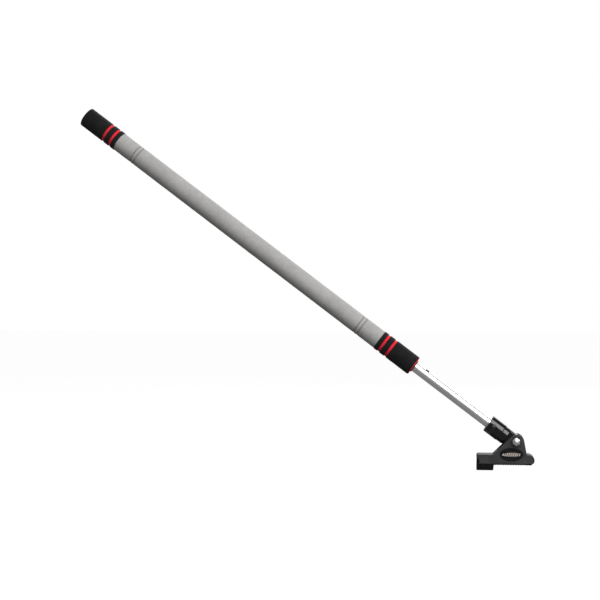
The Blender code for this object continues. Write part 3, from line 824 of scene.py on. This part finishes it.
drawn_aluminium = Finish("drawn_aluminium", {"Metallic": 1.0})
lines = noise(drawn_aluminium, bar_place(drawn_aluminium, (1.0, 1.0, 60.0)), 1500.0, 3.0)
bands = noise(drawn_aluminium, bar_place(drawn_aluminium, (1.0, 1.0, 12.0)), 160.0, 3.0)
handled = noise(drawn_aluminium, on_piece(drawn_aluminium), 30.0, 4.0)
drawn_aluminium.varies(
    {
        "Base Color": tint(drawn_aluminium, lines * 0.5 + bands * 0.5, (0.74, 0.74, 0.75), (0.88, 0.88, 0.88)),
        "Roughness": 0.24 + 0.1 * lines + 0.12 * handled,
        "Normal": bump(drawn_aluminium, lines, 0.00003),
    }
)
tube_low, tube_high, tube_reach = along_bar("inner_tube")
tube_bore, tube_edge = tube_reach - 0.0018, 0.0004
tube = lathe(
    "drawn_inner_tube",
    [
        (tube_bore, tube_low),
        (tube_reach - tube_edge, tube_low),
        (tube_reach, tube_low + tube_edge),
        (tube_reach, tube_high - tube_edge),
        (tube_reach - tube_edge, tube_high),
        (tube_bore, tube_high),
    ],
)
tube_points = [vertex.co - bar_start for vertex in nodes["inner_tube"].data.vertices]
far_from_ends = 0.1  # only the drilled hole has points further in than this
hole_points = [
    point
    for point in tube_points
    if tube_low + far_from_ends < point.dot(bar_way) < tube_high - far_from_ends
]
hole_middle = sum(hole_points, Vector()) / len(hole_points)
hole_at = hole_middle.dot(bar_way)
hole_out = hole_middle - hole_at * bar_way
hole_turn = math.atan2(hole_out.dot(bar_up), -hole_out.y)  # from the front towards the bar's upper side
hole_way = (math.pi / 2, 0.0, hole_turn)
hole_r = 0.00525
combine(tube, cylinder("drilled_hole", hole_r, 0.002, clear, (0.0, 0.0, hole_at), hole_way, 48))
combine(tube, cylinder("tube_screw_hole", screw_hole_r, -clear, clear, screw_middle, to_back, 32))
on_bar(tube)
smooth_shade(tube, 35)
wears(tube, drawn_aluminium)
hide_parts("inner_tube")
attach(tube, "inner")

for name in ("lock_plug", "expander"):
    wears(nodes[name], white_nylon)
for name in ("plug_pin", "lock_stud", "stop_nut", "cone_nut"):
    wears(nodes[name], bright_zinc)
wears(nodes["outer_tube"], drawn_aluminium)


# ---- guide bush and end plug ----
# A dark plastic bush in the outer tube's mouth guides the inner tube. A black rubber plug closes the
# far end and bears on the wall there.
bush_low, bush_high, bush_r = along_bar("guide_bush")
outer_low, outer_high, outer_r = along_bar("outer_tube")
outer_bore = outer_r - 0.00165
slide_r = tube_r + 0.00025  # the inner tube runs in this bore
spigot_r = outer_bore - 0.0003
bush = lathe(
    "mouth_bush",
    [
        (slide_r, bush_low + 0.0004),
        (slide_r + 0.0004, bush_low),
        (bush_r - 0.0006, bush_low),
        (bush_r - 0.0002, bush_low + 0.0002),
        (bush_r, bush_low + 0.0006),
        (bush_r, outer_low - 0.0003),
        (spigot_r, outer_low - 0.0003),
        (spigot_r, bush_high),
        (slide_r, bush_high),
    ],
)
on_bar(bush)
wears(bush, black_moulding)
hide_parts("guide_bush")
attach(bush, "outer")

plug_low, plug_high, plug_r = along_bar("end_plug")
plug_rim = outer_high + 0.0003
plug = lathe(
    "far_end_plug",
    [
        (spigot_r, plug_low),
        (spigot_r, plug_rim),
        (plug_r, plug_rim),
        (plug_r, plug_high - 0.0012),
        (plug_r - 0.0004, plug_high - 0.0004),
        (plug_r - 0.0012, plug_high),
        (0.0105, plug_high),
        (0.0100, plug_high - 0.0006),
        (0.0085, plug_high - 0.0006),
        (0.0080, plug_high),
        (0.0030, plug_high),
        (0.0020, plug_high - 0.0008),
    ],
    bored=False,
)
on_bar(plug)
wears(plug, black_rubber)
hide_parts("end_plug")
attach(plug, "outer")


# ---- grey foam sleeve ----
# A long tube of grey closed-cell foam is pushed over the outer tube. Its skin is matt and a little
# uneven, and a pair of fine grooves runs round it near each end.
def foam_finish(name, dark, light, cell_depth, sheen=0.15):
    """Matt closed-cell foam: fine open cells, faint mottling and a few pressed, smoother places."""
    finish = Finish(name, {"Specular IOR Level": 0.15, "Sheen Weight": sheen, "Sheen Roughness": 0.6})
    place = on_piece(finish)
    cells = noise(finish, place, 850.0, 4.0)
    mottle = noise(finish, place, 70.0, 4.0)
    drift = noise(finish, place, 9.0, 2.0)
    shade = between(finish, cells * 0.15 + mottle * 0.5 + drift * 0.35, 0.35, 0.65)
    finish.varies(
        {
            "Base Color": tint(finish, shade, dark, light),
            "Roughness": 0.8 + 0.15 * mottle,
            "Normal": bump(finish, cells + mottle * 0.6, cell_depth),
        }
    )
    return finish


def foam_tube(name, rings, unevenness):
    """A tube of foam through its rings, with its skin a little uneven, laid along the bar."""
    made = lathe(name, rings, 96)
    clouds = bpy.data.textures.new(name + "_skin", "CLOUDS")
    clouds.noise_scale = 0.02
    modify(made, "DISPLACE", texture=clouds, texture_coords="LOCAL", strength=unevenness, mid_level=0.5)
    on_bar(made)
    smooth_shade(made, 50)
    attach(made, "outer")
    return made


sleeve_low, sleeve_high, sleeve_r = along_bar("foam_sleeve")
groove_places = (0.0533, 0.0635)
spots = [sleeve_low + groove for groove in groove_places] + [sleeve_high - groove for groove in groove_places]
grey_foam = foam_finish("grey_foam", (0.262, 0.259, 0.252), (0.304, 0.300, 0.292), 0.00006)
up_bar = grey_foam.node("ShaderNodeSeparateXYZ", None, {0: bar_place(grey_foam, (1.0, 1.0, 1.0))}, 2)
# Painted shade: inside each groove the skin's colour is mixed towards a dark grey, standing in for the shade
# that falls in the groove.
groove_shade_mask = 0.0
for spot in spots:
    groove_shade_mask = between(grey_foam, abs(up_bar - spot), 0.0008, 0.0028, 1.0, 0.0) + groove_shade_mask
skin_colour = Socket(grey_foam, grey_foam.shader.inputs["Base Color"].links[0].from_socket)
painted_groove_shade = {0: groove_shade_mask * 0.75, 6: skin_colour, 7: (0.15, 0.148, 0.143, 1.0)}
groove_shaded_colour = grey_foam.node("ShaderNodeMix", {"data_type": "RGBA"}, painted_groove_shade, 2)
grey_foam.varies({"Base Color": groove_shaded_colour})
foam_bore = outer_r + 0.0003
groove_half, groove_deep = 0.0022, 0.0012
sleeve_rings = [
    (foam_bore, sleeve_low),
    (sleeve_r - 0.0010, sleeve_low),
    (sleeve_r - 0.0003, sleeve_low + 0.0003),
    (sleeve_r, sleeve_low + 0.0010),
]
steps = 136  # rings along the sleeve, about 6 mm apart
for step in range(1, steps):
    height = sleeve_low + (sleeve_high - sleeve_low) * step / steps
    if all(abs(height - spot) > 1.5 * groove_half for spot in spots):
        sleeve_rings.append((sleeve_r, height))
for spot in spots:
    for part in range(-4, 5):
        dip = groove_deep * (1 + math.cos(math.pi * part / 4)) / 2
        sleeve_rings.append((sleeve_r - dip, spot + groove_half * part / 4))
sleeve_rings = sleeve_rings[:4] + sorted(sleeve_rings[4:], key=lambda ring: ring[1])
sleeve_rings += [
    (sleeve_r, sleeve_high - 0.0010),
    (sleeve_r - 0.0003, sleeve_high - 0.0003),
    (sleeve_r - 0.0010, sleeve_high),
    (foam_bore, sleeve_high),
]
sleeve = foam_tube("grey_foam_sleeve", sleeve_rings, 0.0004)
wears(sleeve, grey_foam)
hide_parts("foam_sleeve")


# ---- grips ----
# Each grip is a red foam core with three bands of black foam glued over it. The red shows between
# the bands and as a thin lip at the grip's open end.
red_foam = foam_finish("red_foam", (0.55, 0.010, 0.023), (0.66, 0.018, 0.034), 0.0002, 0.05)
black_foam = foam_finish("black_foam", (0.0025, 0.0025, 0.0027), (0.007, 0.007, 0.0072), 0.00025, 0.05)


def band_rings(inner, outer, low, high, edge_low, edge_high):
    """Rings of a foam tube with rounded outer edges, which may be longer than they are high."""
    rings = [(inner, low)]
    for step in range(5):
        turn = math.radians(90 * step / 4)
        fall = min(edge_low, outer - inner - 0.0001) * (1 - math.sin(turn))
        rings.append((outer - fall, low + edge_low * (1 - math.cos(turn))))
    count = max(2, int((high - low) / 0.006))
    for step in range(1, count):
        rings.append((outer, low + edge_low + (high - low - edge_low - edge_high) * step / count))
    for step in range(5):
        turn = math.radians(90 * step / 4)
        fall = min(edge_high, outer - inner - 0.0001) * (1 - math.cos(turn))
        rings.append((outer - fall, high - edge_high * (1 - math.sin(turn))))
    return rings + [(inner, high)]


core_short, core_edge, core_far_edge = 0.004, 0.0006, 0.0012
band_spread, band_edge, band_tight_edge = 0.0004, 0.0011, 0.0005
far_band_edge, far_band_more = 0.0032, 0.0010
for where in ("lower", "upper"):
    low, high, reach = along_bar("grip_core_" + where)
    low, high = (low, high - core_short) if where == "lower" else (low + core_short, high)
    far_edge = core_edge if where == "lower" else core_far_edge
    core_rings = band_rings(foam_bore, reach, low, high, core_edge, far_edge)
    core = foam_tube("red_core_" + where, core_rings, 0.00015)
    wears(core, red_foam)
    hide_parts("grip_core_" + where)
    for number in (1, 2, 3):
        name = f"grip_band_{where}_{number}"
        low, high, band_r = along_bar(name)
        soft_low = soft_high = band_edge
        if number < 3 or where == "lower":
            low -= band_spread
        else:
            soft_low = band_tight_edge
        if number < 3 or where == "upper":
            high += band_spread
        else:
            soft_high = band_tight_edge
        if number == 1 and where == "upper":
            soft_high = far_band_edge
            high += far_band_more
        rings = band_rings(reach + 0.0003, band_r, low, high, soft_low, soft_high)
        band = foam_tube("black_" + name, rings, 0.00025)
        wears(band, black_foam)
        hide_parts(name)
